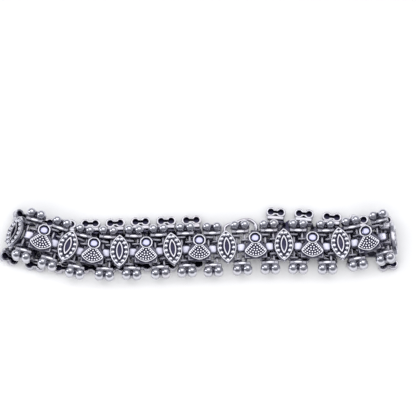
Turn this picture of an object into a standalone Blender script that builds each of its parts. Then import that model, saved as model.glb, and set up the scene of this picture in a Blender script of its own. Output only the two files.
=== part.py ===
"""Chain bracelet of oxidised silver castings, closed by a wire hook and lying doubled on a flat surface.

Ball bar connectors and ornamental plates alternate along the chain. Each connector has two rails for pins and each
plate has four square loops that hook round the rails of its neighbours. The upper layer faces up, the lower layer
faces down, and the chain turns over at both ends.

A casting is modelled flat: X along the chain, Y across the band and Z outward, with Z = 0 at the connector's back.
"""

import math

import bmesh
import bpy
from mathutils import Matrix, Vector

MM = 0.001

# Ball bar connector: a pair of balls on a hollow figure-8 shell at each end
BALL_DIAMETER = 2.3 * MM
BALL_GAP = 0.05 * MM
BALL_SIDES = 10
BARREL_DEPTH = 1.3 * MM
WAIST_HEIGHT = 1.24 * MM
SHELL_WALL = 0.4 * MM
SLIT_HEIGHT = 0.5 * MM
HOLLOW_DEPTH = 1.1 * MM

# Ball bar connector: ledges, rails and the cushion stud between the shells
LEDGE_WIDTH = 4.0 * MM
LEDGE_HEIGHT = 0.75 * MM
RAIL_SIDE = 0.5 * MM
RAIL_SPACING = 1.9 * MM
RAIL_BACK = 0.25 * MM
STUD_SIDE = 2.2 * MM
STUD_BEVEL = 0.3 * MM
STUD_RISE = 0.5 * MM

# Plates, set in front of the connectors
PLATE_CLEARANCE = 0.15 * MM
SLAB_DEPTH = 0.55 * MM
RELIEF_DEPTH = 0.6 * MM
TIP_CLEARANCE = 0.17 * MM
MARQUISE_WIDTH = 4.55 * MM
MARQUISE_LENGTH = 8.4 * MM
MARQUISE_TAPER = 0.93
MARQUISE_SINK = 0.12 * MM
MARQUISE_RING_WIDTH = 1.5 * MM
MARQUISE_RING_LENGTH = 4.4 * MM
FAN_WIDTH = 5.1 * MM
FAN_BASE_MARGIN = 0.12 * MM
FAN_LENGTH = 6.3 * MM
FAN_NECK = 2.0 * MM
BOSS_DIAMETER = 3.0 * MM
BOSS_RIM = 0.36 * MM
BOSS_RISE = 0.12 * MM
BOSS_SIDES = 10

# Hinge loops on the plates' backs
LOOP_WIRE = 0.4 * MM
LOOP_WIDTH = 0.45 * MM
LOOP_SLACK = 0.45 * MM
LOOP_BACK_CLEARANCE = 0.3 * MM
LOOP_STAGGER = 1.1 * MM
LOOP_ROOT = 0.5 * MM

# Chain: the usual distance between the middles of neighbouring connectors, the distance that the route and the
# hook's bend below were laid out for, and the shares of it that each run of plates takes up as it was laid down, with
# the number of plates in the run
PITCH = 6.3 * MM
ROUTE_PITCH = 6.3 * MM
PITCH_SHARES = [(7, 0.945), (8, 0.985), (6, 1.055), (1, 0.98), (4, 1.035)]
AXIS_SMOOTHING = 30

# Clasp: a V-shaped bail on each end connector, a ring and a hook of bent wire
BAIL_LENGTH = 3.5 * MM
BAIL_EYE = 1.5 * MM
BAIL_WIRE = 0.4 * MM
BAIL_WIDTH = 0.6 * MM
BAIL_TIP = 1.3 * MM
RING_DIAMETER = 3.4 * MM
RING_WIRE = 0.45 * MM
RING_TURN = 33
HOOK_WIRE = 0.9 * MM
HOOK_EYE_DIAMETER = 2.5 * MM
HOOK_EYE_WIRE = 0.5 * MM
HOOK_EYE_TURN = 50
WIRE_SIDES = 6
RING_SIDES = 10

OXIDISED_SILVER = (0.42, 0.41, 0.46, 1.0)
POLISHED_WIRE = (0.62, 0.61, 0.64, 1.0)

# Values that follow from the sizes above
BALL_RADIUS = BALL_DIAMETER / 2
PAIR_HALF = (BALL_DIAMETER + BALL_GAP) / 2
PAIR_OFFSET = MARQUISE_LENGTH / 2 + TIP_CLEARANCE + BALL_RADIUS
LEDGE_INNER = PAIR_OFFSET - BALL_RADIUS - LEDGE_HEIGHT
WINDOW_MIDDLE = (STUD_SIDE / 2 + LEDGE_INNER) / 2
RAIL_LEVEL = RAIL_BACK + RAIL_SIDE / 2
SLAB_BACK = RAIL_BACK + RAIL_SIDE + STUD_RISE + PLATE_CLEARANCE
RELIEF_LEVEL = SLAB_BACK + SLAB_DEPTH
LOOP_BOTTOM = RAIL_BACK - LOOP_BACK_CLEARANCE - LOOP_WIRE

BAIL_EYE_LEVEL = RELIEF_LEVEL - BAIL_WIRE - BAIL_EYE / 2
STRETCH = PITCH / ROUTE_PITCH
UNSTRETCHED = 2 * BAIL_LENGTH + RAIL_SPACING

# The chain's route through its hinges, in millimetres: to the right, to the back and the height of the rails. It
# starts at the clasp, runs along the lower layer to the left end, over it and along the upper layer to the right
# end, and back along the lower layer to the clasp.
ROUTE = [
    (49.6, 2.5, 2.2),
    (46.1, 2.45, 2.2),
    (39.2, 2.2, 2.2),
    (33.4, 2.05, 2.2),
    (27.0, 1.68, 2.2),
    (21.1, 1.55, 2.2),
    (16.0, 1.4, 2.2),
    (12.4, 1.64, 2.2),
    (9.3, 2.15, 2.2),
    (7.2, 2.6, 2.2),
    (4.2, 3.5, 2.31),
    (3.0, 3.85, 4.0),
    (6.6, 2.8, 5.95),
    (13.6, 0.63, 5.3),
    (19.0, -0.96, 4.6),
    (25.4, -1.25, 4.3),
    (31.5, -0.99, 4.22),
    (37.6, -0.74, 4.22),
    (44.0, -0.33, 4.22),
    (50.5, -0.23, 4.22),
    (56.6, 0.18, 4.22),
    (63.5, 0.43, 4.22),
    (69.8, 0.48, 4.22),
    (76.4, 0.34, 4.3),
    (82.7, 1.07, 4.6),
    (89.0, 2.02, 6.0),
    (91.2, 2.3, 6.4),
    (91.3, 2.28, 2.2),
    (89.3, 2.24, 2.2),
    (84.0, 2.6, 2.2),
    (77.0, 3.3, 2.2),
    (70.7, 4.1, 2.2),
    (64.0, 4.5, 2.2),
    (56.5, 5.3, 2.2),
]

# Turns within the loops' slack, in degrees, of single castings counted along the route from the first bail
SLACK_TURNS = {
    16: 1, 18: -4, 21: 2, 22: 4, 23: 4, 24: 3, 25: 5, 26: 3, 28: -3, 39: 1.5, 42: -2.5, 45: -4, 46: -3, 47: -1,
}

# The hook's shank and bend from its eye's far side, in millimetres on the floor plane, in the route's frame
HOOK_BEND = [
    (52.75, 5.3),
    (52.85, 6.3),
    (53.7, 7.0),
    (55.2, 7.3),
    (56.6, 8.0),
    (58.4, 8.3),
    (59.9, 7.3),
    (60.2, 6.1),
    (60.0, 4.85),
    (59.3, 3.8),
    (57.9, 3.6),
]


def clear_scene():
    for obj in list(bpy.data.objects):
        bpy.data.objects.remove(obj, do_unlink=True)


def finish_material(name, colour, roughness):
    material = bpy.data.materials.new(name)
    material.use_nodes = True
    shader = material.node_tree.nodes["Principled BSDF"]
    shader.inputs["Base Color"].default_value = colour
    shader.inputs["Roughness"].default_value = roughness
    shader.inputs["Metallic"].default_value = 1.0
    return material


def prism(outline, low, high, top=None):
    """A closed solid between two levels of Z over an outline. The top may be another outline of as many points."""
    mesh = bmesh.new()
    lower = [mesh.verts.new((x, y, low)) for x, y in outline]
    upper = [mesh.verts.new((x, y, high)) for x, y in (top or outline)]
    mesh.faces.new(lower)
    mesh.faces.new(upper)
    for i in range(len(lower)):
        j = (i + 1) % len(lower)
        mesh.faces.new((lower[i], lower[j], upper[j], upper[i]))
    bmesh.ops.recalc_face_normals(mesh, faces=mesh.faces[:])
    return mesh


def rectangle(half_x, half_y, x=0.0, y=0.0):
    return [(x - half_x, y - half_y), (x + half_x, y - half_y), (x + half_x, y + half_y), (x - half_x, y + half_y)]


def circle(radius, sides, x=0.0, y=0.0, start=0.0):
    turns = [start + math.tau * i / sides for i in range(sides)]
    return [(x + radius * math.cos(a), y + radius * math.sin(a)) for a in turns]


def scaled(outline, factor_x, factor_y=None):
    return [(x * factor_x, y * (factor_x if factor_y is None else factor_y)) for x, y in outline]


def to_object(name, mesh):
    data = bpy.data.meshes.new(name)
    mesh.to_mesh(data)
    mesh.free()
    obj = bpy.data.objects.new(name, data)
    bpy.context.scene.collection.objects.link(obj)
    return obj


def fused(name, base, joined, cut=()):
    """One mesh: the base with each solid joined to it and each cutter taken out of it."""
    body = to_object(name, base)
    helpers = []
    for operation, solids in (("UNION", joined), ("DIFFERENCE", cut)):
        for solid in solids:
            helper = to_object("helper", solid)
            helpers.append(helper)
            modifier = body.modifiers.new(operation.title(), "BOOLEAN")
            modifier.operation = operation
            modifier.object = helper
    graph = bpy.context.evaluated_depsgraph_get()
    mesh = bpy.data.meshes.new_from_object(body.evaluated_get(graph))
    for obj in [body, *helpers]:
        bpy.data.objects.remove(obj, do_unlink=True)
    mesh.name = name
    mesh.shade_smooth()
    mesh.set_sharp_from_angle(angle=math.radians(35))
    return mesh


def to_mesh(data):
    mesh = bmesh.new()
    mesh.from_mesh(data)
    bpy.data.meshes.remove(data)
    return mesh


def hollow_outline(radius, slit):
    """Two circles side by side, drawn in to a narrow slit between them."""
    turns = [math.radians(a) for a in (-100, 0, 100)]
    right = [(PAIR_HALF + radius * math.cos(a), radius * math.sin(a)) for a in turns]
    return right + [(0.0, slit / 2)] + [(-x, -y) for x, y in right] + [(0.0, -slit / 2)]


def ball_pair_shell(side):
    """The hollow-backed shell with its two balls and its ledge, for the end at +Y or, with side -1, at -Y."""
    mesh = bmesh.new()
    step = math.tau / BALL_SIDES

    def place(x, y, level):
        return mesh.verts.new((side * x, side * (PAIR_OFFSET + y), level))

    def walls(lower, upper):
        for i in range(len(lower)):
            j = (i + 1) % len(lower)
            mesh.faces.new((lower[i], lower[j], upper[j], upper[i]))

    ball_turns = [step * k for k in range(-1, BALL_SIDES - 1)]
    outer_count = BALL_SIDES // 2
    ball = [(PAIR_HALF + BALL_RADIUS * math.cos(a), BALL_RADIUS * math.sin(a)) for a in ball_turns]
    ledge = [(LEDGE_WIDTH / 2, -BALL_RADIUS - LEDGE_HEIGHT), (LEDGE_WIDTH / 2, -BALL_RADIUS)]
    right = ledge + ball[:outer_count]
    outline = right + [(0.0, WAIST_HEIGHT / 2)] + [(-x, y) for x, y in reversed(right)]
    back = [place(x, y, 0.0) for x, y in outline]
    front = [place(x, y, BARREL_DEPTH) for x, y in outline]
    walls(back, front)
    hollow = hollow_outline(BALL_RADIUS - SHELL_WALL, SLIT_HEIGHT)
    lip = [place(x, y, 0.0) for x, y in hollow]
    floor = [place(x, y, HOLLOW_DEPTH) for x, y in hollow]
    walls(floor, lip)
    mesh.faces.new(floor)
    rim = set(back) | set(lip)
    bmesh.ops.bridge_loops(mesh, edges=[e for e in mesh.edges if all(v in rim for v in e.verts)])
    inner = {half: [place(half * x, y, BARREL_DEPTH) for x, y in ball[outer_count:]] for half in (1, -1)}
    count = len(right)
    right_front, waist, left_front = front[:count], front[count], front[count + 1:][::-1]
    mesh.faces.new(right_front[:3] + inner[1][::-1] + [right_front[-1], waist, left_front[-1]] + inner[-1]
                   + left_front[:3][::-1])
    cap_turn = math.radians(50)
    rise = Vector((0, 0, BALL_RADIUS * math.sin(cap_turn)))
    for half, base in ((1, right_front[2:] + inner[1]), (-1, left_front[2:] + inner[-1])):
        centre = Vector((side * half * PAIR_HALF, side * PAIR_OFFSET, BARREL_DEPTH))
        cap = [mesh.verts.new(centre + (v.co - centre) * math.cos(cap_turn) + rise) for v in base[::2]]
        crown = mesh.verts.new(centre + Vector((0, 0, BALL_RADIUS)))
        for i in range(len(cap)):
            j = (i + 1) % len(cap)
            near, between, far = (base[(2 * i + k) % len(base)] for k in range(3))
            mesh.faces.new((near, between, cap[i]))
            mesh.faces.new((between, cap[j], cap[i]))
            mesh.faces.new((between, far, cap[j]))
            mesh.faces.new((cap[i], cap[j], crown))
    bmesh.ops.recalc_face_normals(mesh, faces=mesh.faces[:])
    return mesh


def connector_mesh():
    rail_top = RAIL_BACK + RAIL_SIDE
    seat = LEDGE_HEIGHT / 2
    ladder = prism(rectangle(RAIL_SPACING / 2 + RAIL_SIDE / 2, LEDGE_INNER + seat), RAIL_BACK, rail_top)
    windows = []
    for side in (-1, 1):
        inner, outer = STUD_SIDE / 2, LEDGE_INNER + seat / 2
        opening = rectangle(RAIL_SPACING / 2 - RAIL_SIDE / 2, (outer - inner) / 2, 0, side * (inner + outer) / 2)
        windows.append(prism(opening, RAIL_BACK - RAIL_SIDE, rail_top + RAIL_SIDE))
    pierced = to_mesh(fused("ladder", ladder, [], windows))
    stud = rectangle(RAIL_SPACING / 2 - RAIL_SIDE / 4, STUD_SIDE / 2 - STUD_BEVEL / 4)
    face = rectangle(STUD_SIDE / 2 - STUD_BEVEL, STUD_SIDE / 2 - STUD_BEVEL)
    raised_stud = prism(stud, rail_top - RAIL_SIDE / 2, rail_top + STUD_RISE, face)
    return fused("connector", ball_pair_shell(1), [ball_pair_shell(-1), pierced, raised_stud])


def square_loop(frame, hole, near, far):
    """A four-sided loop of bar between two levels of Y, from its outer and inner corners in X and Z."""
    mesh = bmesh.new()
    rings = [[mesh.verts.new((x, y, z)) for x, z in outline] for y in (near, far) for outline in (frame, hole)]
    near_frame, near_hole, far_frame, far_hole = rings
    turn_over = [near_frame, near_hole, far_hole, far_frame, near_frame]
    for one, other in zip(turn_over, turn_over[1:]):
        for i in range(4):
            j = (i + 1) % 4
            mesh.faces.new((one[i], one[j], other[j], other[i]))
    bmesh.ops.recalc_face_normals(mesh, faces=mesh.faces[:])
    return mesh


def hinge_loops(reach, sides=(-1, 1)):
    """The square loops on a plate's back, two a side. Those on one side are further from the middle."""
    loops = []
    opening = RAIL_SIDE / 2 + LOOP_SLACK
    top = SLAB_BACK + LOOP_WIRE / 2
    hole_top = RAIL_BACK + RAIL_SIDE + LOOP_BACK_CLEARANCE
    hole_bottom = RAIL_BACK - LOOP_BACK_CLEARANCE
    for side in sides:
        for end in (-1, 1):
            level = end * (WINDOW_MIDDLE + side * LOOP_STAGGER / 2)
            inner = side * (reach - opening)
            outer = side * (reach + opening)
            wire = side * LOOP_WIRE
            frame = [
                (inner - wire, LOOP_BOTTOM),
                (outer + wire, LOOP_BOTTOM),
                (outer + wire, hole_top + LOOP_WIRE * 0.6),
                (inner - wire - side * LOOP_ROOT, top),
            ]
            hole = [(inner, hole_bottom), (outer, hole_bottom), (outer, hole_top), (inner, hole_top)]
            loops.append(square_loop(frame, hole, level - LOOP_WIDTH / 2, level + LOOP_WIDTH / 2))
    return loops


def pointed_oval(width, length, points_a_side):
    """A vesica: two equal arcs that meet in a point at each end."""
    radius = (length ** 2 + width ** 2) / (4 * width)
    turn = math.asin(length / 2 / radius)
    angles = [turn * (2 * i / points_a_side - 1) for i in range(points_a_side)]
    right = [(width / 2 - radius + radius * math.cos(a), radius * math.sin(a)) for a in angles]
    return right + [(-x, -y) for x, y in right]


def marquise_mesh(reach):
    outline = pointed_oval(MARQUISE_WIDTH, MARQUISE_LENGTH, 5)
    front = RELIEF_LEVEL + RELIEF_DEPTH
    ring = pointed_oval(MARQUISE_RING_WIDTH, MARQUISE_RING_LENGTH, 3)
    slab = prism(outline, SLAB_BACK, front - MARQUISE_SINK, scaled(outline, MARQUISE_TAPER))
    raised = prism(ring, RELIEF_LEVEL, front, scaled(ring, MARQUISE_TAPER))
    return fused("marquise_plate", slab, [raised, *hinge_loops(reach)])


def fan_outline(width, neck, top, shoulder, bottom, bow):
    """The wedge: a neck at the top, straight sides to the corners and a bowed bottom edge."""
    low = [(width / 2, shoulder), (width * 0.42, shoulder - bow * 0.5), (width * 0.2, bottom + bow * 0.08)]
    right = [(neck / 2, top), *low]
    return right + [(-x, y) for x, y in reversed(right)]


def fan_mesh(reach):
    boss_radius = BOSS_DIAMETER / 2
    boss_y = FAN_LENGTH / 2 - boss_radius + FAN_BASE_MARGIN
    bottom = -FAN_LENGTH / 2 + FAN_BASE_MARGIN
    shoulder = boss_y - BOSS_DIAMETER
    front = RELIEF_LEVEL + RELIEF_DEPTH
    half = FAN_WIDTH / 2 + FAN_BASE_MARGIN
    neck_y = boss_y - boss_radius / 2
    base = [
        (half, -FAN_LENGTH / 2), (half, shoulder + boss_radius / 2), (boss_radius, neck_y),
        (boss_radius, FAN_LENGTH / 2), (-boss_radius, FAN_LENGTH / 2), (-boss_radius, neck_y),
        (-half, shoulder + boss_radius / 2), (-half, -FAN_LENGTH / 2),
    ]
    wedge = fan_outline(FAN_WIDTH, FAN_NECK, neck_y, shoulder, bottom, shoulder - bottom)
    ring = circle(boss_radius, BOSS_SIDES, 0, boss_y)
    crown = circle(boss_radius - BOSS_RIM, BOSS_SIDES, 0, boss_y)
    joined = [
        prism(wedge, RELIEF_LEVEL - SLAB_DEPTH / 2, front),
        prism(ring, SLAB_BACK + SLAB_DEPTH / 4, front + BOSS_RISE, crown),
        *hinge_loops(reach),
    ]
    return fused("fan_plate", prism(base, SLAB_BACK, RELIEF_LEVEL), joined)


def bail_mesh(side):
    """The V-shaped bail, with its two hinge loops at +X or, with side -1, at -X and its eye at the other end."""
    wide = side * (BAIL_LENGTH / 2 - LOOP_ROOT - LOOP_WIRE)
    tip = -side * (BAIL_LENGTH / 2 - BAIL_EYE / 2 - BAIL_WIRE / 2)
    spread = WINDOW_MIDDLE + LOOP_STAGGER / 2 + LOOP_WIDTH
    outline = [(wide, -spread), (wide, spread), (tip, BAIL_TIP / 2), (tip, -BAIL_TIP / 2)]
    window = scaled(outline, 0.5)
    plate = prism(outline, SLAB_BACK, RELIEF_LEVEL)
    opening = prism(window, SLAB_BACK - SLAB_DEPTH, RELIEF_LEVEL + SLAB_DEPTH)
    pierced = to_mesh(fused("bail_plate", plate, [], [opening]))
    eye = -side * BAIL_LENGTH / 2
    hole = [(eye + x, z) for x, z in rectangle(BAIL_EYE / 2, BAIL_EYE / 2, 0, BAIL_EYE_LEVEL)]
    half = BAIL_EYE / 2 + BAIL_WIRE
    frame = [(eye + x, z) for x, z in rectangle(half, half, 0, BAIL_EYE_LEVEL)]
    loop = square_loop(frame, hole, -BAIL_WIDTH / 2, BAIL_WIDTH / 2)
    return fused("end_bail", pierced, [loop, *hinge_loops(BAIL_LENGTH / 2, (side,))])


def smooth_route(points, steps):
    """A Catmull-Rom curve through the points, as a dense row of points."""
    extended = [2 * points[0] - points[1], *points, 2 * points[-1] - points[-2]]
    row = []
    for a, b, c, d in zip(extended, extended[1:], extended[2:], extended[3:]):
        for k in range(steps):
            u = k / steps
            square, cube = 2 * a - 5 * b + 4 * c - d, 3 * b - a - 3 * c + d
            row.append((2 * b + (c - a) * u + square * u ** 2 + cube * u ** 3) / 2)
    return row + [points[-1]]


def chords(row, lengths):
    """The ends of straight castings of the given lengths that follow one another along the row of points."""
    found = []
    point, index = row[0], 0
    for length in lengths:
        while (row[index + 1] - point).length < length:
            index += 1
        low, high = 0.0, 1.0
        for _ in range(30):
            middle = (low + high) / 2
            if (row[index].lerp(row[index + 1], middle) - point).length < length:
                low = middle
            else:
                high = middle
        end = row[index].lerp(row[index + 1], low)
        found.append((point, end))
        point = end
    return found


def chain_frames():
    """The kind of each casting along the chain, its hinges' middle and its three axes, with the ends as bails."""
    kinds = ["end_bail"]
    lengths = [BAIL_LENGTH]
    shares = [share for count, share in PITCH_SHARES for _ in range(count)]
    for place, share in enumerate(shares):
        kinds += ["connector", "marquise_plate" if place % 2 else "fan_plate"]
        lengths += [RAIL_SPACING, PITCH * share - RAIL_SPACING]
    kinds += ["connector", "end_bail"]
    lengths += [RAIL_SPACING, BAIL_LENGTH]
    route = [MM * Vector(point) * STRETCH for point in ROUTE]
    spans = chords(smooth_route(route, 24), lengths)
    along = [(end - start).normalized() for start, end in spans]
    across = [(Vector((0, 1, 0)) - t * t.y).normalized() for t in along]
    for _ in range(AXIS_SMOOTHING):
        beside = zip(across[:1] + across[:-1], across[1:] + across[-1:])
        sums = [one + other for one, other in beside]
        across = [(v - t * v.dot(t)).normalized() for t, v in zip(along, sums)]
    frames = []
    for place, (kind, (start, end), t, v) in enumerate(zip(kinds, spans, along, across)):
        outward = t.cross(v)
        clockwise = math.radians(SLACK_TURNS.get(place, 0)) * (-1 if outward.z > 0 else 1)
        turn = Matrix.Rotation(clockwise, 3, outward)
        axes = Matrix((turn @ t, turn @ v, outward)).transposed()
        frames.append((kind, (start + end) / 2 - outward * RAIL_LEVEL, axes))
    return frames


def tube(centres, diameter, normal, closed=False):
    """A round wire, as a prism with a few sides, through centres that lie in a plane with the given normal."""
    mesh = bmesh.new()
    rings = []
    count = len(centres)
    for i, centre in enumerate(centres):
        before = centres[i - 1] if closed or i else centre
        after = centres[(i + 1) % count] if closed or i < count - 1 else centre
        sideways = (after - before).normalized().cross(normal)
        ring = [normal * y + sideways * x for x, y in circle(diameter / 2, WIRE_SIDES)]
        rings.append([mesh.verts.new(centre + offset) for offset in ring])
    for i in range(count if closed else count - 1):
        one, other = rings[i], rings[(i + 1) % count]
        for k in range(WIRE_SIDES):
            j = (k + 1) % WIRE_SIDES
            mesh.faces.new((one[k], one[j], other[j], other[k]))
    if not closed:
        mesh.faces.new(rings[0])
        mesh.faces.new(rings[-1])
    bmesh.ops.recalc_face_normals(mesh, faces=mesh.faces[:])
    return mesh


def wire_ring(centre, radius, diameter, one, other):
    turns = [math.tau * k / RING_SIDES for k in range(RING_SIDES)]
    centres = [centre + radius * (one * math.cos(a) + other * math.sin(a)) for a in turns]
    return tube(centres, diameter, one.cross(other), closed=True)


def clasp_meshes(bail_eye):
    """The ring through the first bail's eye, and the hook through the ring: (name, place, mesh around it)."""
    upright = Vector((0, 0, 1))
    origin = Vector((0, 0, 0))
    radius = (RING_DIAMETER - RING_WIRE) / 2
    turn = math.radians(RING_TURN)
    toward = Vector((math.cos(turn), math.sin(turn), 0))
    centre = bail_eye + toward * radius
    ring = wire_ring(origin, radius, RING_WIRE, toward, upright.cross(toward))
    turn = math.radians(HOOK_EYE_TURN)
    shank = Vector((math.cos(turn), math.sin(turn), 0))
    eye_radius = (HOOK_EYE_DIAMETER - HOOK_EYE_WIRE) / 2
    eye = bail_eye + toward * radius * 2 + shank * eye_radius / 3
    points = []
    for place, (x, y) in enumerate(HOOK_BEND, 1):
        follow = UNSTRETCHED * (STRETCH - 1) * place / len(HOOK_BEND)
        points.append(MM * Vector((x, y, 0)) * STRETCH + Vector((follow, 0, eye.z)) - eye)
    bend = smooth_route([shank * eye_radius, *points], 2)
    hook_eye = wire_ring(origin, eye_radius, HOOK_EYE_WIRE, shank, upright)
    hook = fused("clasp_hook", tube(bend, HOOK_WIRE, upright), [hook_eye])
    return [("clasp_ring", centre, fused("clasp_ring", ring, [])), ("clasp_hook", eye, hook)]


def main():
    clear_scene()
    castings = finish_material("oxidised_silver", OXIDISED_SILVER, 0.32)
    wire = finish_material("polished_silver_wire", POLISHED_WIRE, 0.22)
    reach = (PITCH - RAIL_SPACING) / 2
    meshes = {"connector": connector_mesh(), "fan_plate": fan_mesh(reach), "marquise_plate": marquise_mesh(reach)}
    frames = chain_frames()
    counts = dict.fromkeys(meshes, 0)
    placed = []
    for place, (kind, middle, axes) in enumerate(frames):
        if kind == "end_bail":
            first = place == 0
            name = "end_bail_left" if first else "end_bail_right"
            mesh = bail_mesh(1 if first else -1)
        else:
            counts[kind] += 1
            name = f"{kind}_{counts[kind]:02d}"
            mesh = meshes[kind]
        placed.append((name, mesh, Matrix.Translation(middle) @ axes.to_4x4(), castings))
    kind, middle, axes = frames[0]
    bail_eye = middle + axes @ Vector((-BAIL_LENGTH / 2, 0, BAIL_EYE_LEVEL))
    for name, point, mesh in clasp_meshes(bail_eye):
        placed.append((name, mesh, Matrix.Translation(point), wire))
    corners = [matrix @ vertex.co for name, mesh, matrix, material in placed for vertex in mesh.vertices]
    low = [min(corner[axis] for corner in corners) for axis in range(3)]
    high = [max(corner[axis] for corner in corners) for axis in range(3)]
    recentre = Matrix.Translation((-(low[0] + high[0]) / 2, -(low[1] + high[1]) / 2, -low[2]))
    for name, mesh, matrix, material in placed:
        if not mesh.materials:
            mesh.materials.append(material)
        obj = bpy.data.objects.new(name, mesh)
        bpy.context.scene.collection.objects.link(obj)
        obj.matrix_world = recentre @ matrix


main()
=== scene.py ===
"""Chain bracelet of oxidised silver, lying doubled: the visible castings, clasp, finishes and studio.

A casting is modelled flat in millimetres, as the real one is cast: X along the chain, Y across the band and
Z outward, with Z = 0 at the connector's back. Geometry Nodes lay the granules on the plates and then set all
castings out along the chain.
"""

import math

import bmesh
import bpy
from bpy.props import FloatProperty, FloatVectorProperty, PointerProperty
from mathutils import Matrix, Vector


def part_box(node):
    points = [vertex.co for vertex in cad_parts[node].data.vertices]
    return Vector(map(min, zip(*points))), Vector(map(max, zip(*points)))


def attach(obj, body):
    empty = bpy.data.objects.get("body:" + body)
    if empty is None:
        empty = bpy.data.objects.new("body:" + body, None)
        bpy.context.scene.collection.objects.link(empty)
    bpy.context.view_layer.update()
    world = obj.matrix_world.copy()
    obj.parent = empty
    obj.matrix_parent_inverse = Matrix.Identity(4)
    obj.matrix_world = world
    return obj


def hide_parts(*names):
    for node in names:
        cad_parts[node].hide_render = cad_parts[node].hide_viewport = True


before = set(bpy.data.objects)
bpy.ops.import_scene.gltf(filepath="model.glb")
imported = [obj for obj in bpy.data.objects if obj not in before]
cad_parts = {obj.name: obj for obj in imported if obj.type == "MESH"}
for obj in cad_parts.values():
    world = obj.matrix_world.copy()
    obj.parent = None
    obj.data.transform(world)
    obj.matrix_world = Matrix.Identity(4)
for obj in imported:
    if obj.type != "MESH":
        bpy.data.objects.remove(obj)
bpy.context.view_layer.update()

bl_info = {
    "name": "Oxidised silver chain bracelet",
    "version": (1, 0, 0),
    "blender": (4, 5, 0),
    "location": "View3D > Sidebar > Bracelet",
    "description": "Ball bar connectors, fan and marquise plates, clasp and studio of a chain bracelet",
    "category": "Object",
}

MM = 0.001

# Ball bar connector
BALL_RADIUS = 1.15
PAIR_HALF = 1.175
PAIR_OFFSET = 5.52
BARREL_DEPTH = 1.3
HOLLOW_DEPTH = 1.1
SHELL_LIP = 0.22
SHELL_WALL = 0.45
WAIST_HALF = 0.62
SLIT_HALF = 0.25
LEDGE_HALF = 2.0
LEDGE_INNER = 3.62
LEDGE_OUTER = 4.6
CROWN_RADIUS = 1.3
CROWN_SINK = 0.06
CROWN_RISE = 0.16
CROWN_SHAPE = (0.92, 0.34, 1.0)
CROWN_OFFSET = 0.36
RAIL_SIDE = 0.5
RAIL_SPACING = 1.9
RAIL_BACK = 0.25
RAIL_LEVEL = 0.5
STUD_HALF = 1.1
STUD_POWER = 3.8
STUD_PROFILE = [
    (1.0, 0.26), (1.08, 0.36), (1.1, 0.7), (1.08, 0.95), (1.03, 1.08), (0.94, 1.17), (0.78, 1.22),
    (0.5, 1.245), (0.2, 1.25),
]
JOINT_OVERLAP = 0.2

# Plates
SLAB_BACK = 1.4
FIELD_LEVEL = 1.95
FIELD_FLOOR = 2.0
FRONT = 2.55
PLATE_REACH = 2.2
MARQUISE_SIZE = (4.55, 8.4)
MARQUISE_FRONT = 2.43
MARQUISE_RING = (1.62, 4.8)
MARQUISE_SLOT = (1.02, 3.6)
BEAD_PATH = (3.16, 6.7)
BEAD_RADIUS = 0.56
BEAD_HEIGHT = 0.5
BEAD_PITCH = 1.275
TIP_PEARL = (-2.62, 0.17, 0.3)
FAN_BASE = [(2.67, -3.15), (2.67, -0.48), (1.5, 1.02), (1.5, 3.15)]
FAN_WEDGE = [
    (0.88, 0.62), (1.5, -0.08), (2.1, -0.76), (2.44, -1.2), (2.5, -1.6), (2.24, -2.02),
    (1.62, -2.53), (0.85, -2.88), (0.0, -3.02),
]
FAN_APEX = 1.59
FAN_ARC = (-0.14, 2.64)
FAN_SPREAD = 42
FAN_RIM = 0.27
CORNER_RIDGES = [(2.36, 2.52, -3.0, -2.1), (1.5, 2.52, -3.03, -2.87)]
GRAIN_ROWS = 5
GRAIN_RADIUS = 0.22
GRAIN_HEIGHT = 0.38
GRAIN_LEVEL = 2.08
GRAIN_MARGIN = 0.44
FIRST_ROW_SHARE = 0.37
ROWS_SHARE = 0.545
MEAN_REACH = 4.0
BOSS_RADIUS = 1.5
BOSS_Y = 1.77
BOSS_RING_SHARE = 0.8
BOSS_RING_TOP = 2.64
BOSS_DOME_RADIUS = 0.95
BOSS_DOME_RISE = 0.5

# Hinge loops and clasp
LOOP_WIRE = 0.4
LOOP_WIDTH = 0.45
LOOP_HALF_OPENING = 0.7
LOOP_FLOOR = -0.05
LOOP_CEILING = 1.05
LOOP_MIDDLE = 2.36
LOOP_STAGGER = 0.55
LOOP_ROOT = 0.5
BAIL_LENGTH = 3.5
BAIL_EYE = 1.5
BAIL_WIRE = 0.4
BAIL_WIDTH = 0.6
BAIL_TIP = 1.3
BAIL_EYE_LEVEL = FIELD_LEVEL - BAIL_WIRE - BAIL_EYE / 2
RING_RADIUS = 1.475
RING_WIRE = 0.225
RING_TURN = 33
HOOK_WIRE = 0.45
HOOK_EYE_RADIUS = 1.0
HOOK_EYE_WIRE = 0.25
HOOK_EYE_TURN = 50

WIRE_SIDES = 16
RING_STEPS = 56

# Polish and painted sheen of each part at its back and at its front: from 1 the oxide is rubbed out of its
# recesses too
# Above 1 the colour is also painted brighter than polished silver towards the front, as painted sheen.
POLISH_AND_SHEEN = {
    "shell": (0.8, 0.5),
    "ball": (0.9, 1.12),
    "ledge": (0.75, 0.6),
    "crown": (0.7, 1.2),
    "rail": (0.1, 0.62),
    "stud": (0.3, 1.05),
    "hinge loop": (0.1, 0.5),
    "marquise slab": (0.75, 1.0),
    "pointed ring": (0.5, 1.0),
    "tip pearl": (0.6, 1.0),
    "bead": (0.8, 1.6),
    "fan base": (0.1, 0.15),
    "corner ridge": (0.3, 0.8),
    "fan field": (0.1, 0.0),
    "fan rim": (0.2, 1.25),
    "grain": (0.1, 1.6),
    "boss ring": (0.3, 1.2),
    "boss seat": (0.0, 0.0),
    "boss dome": (0.6, 1.12),
    "bail": (0.7, 1.0),
    "wire": (0.9, 0.9),
}
STUD_COOLNESS = 0.3
BOSS_COOLNESS = 0.75

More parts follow.
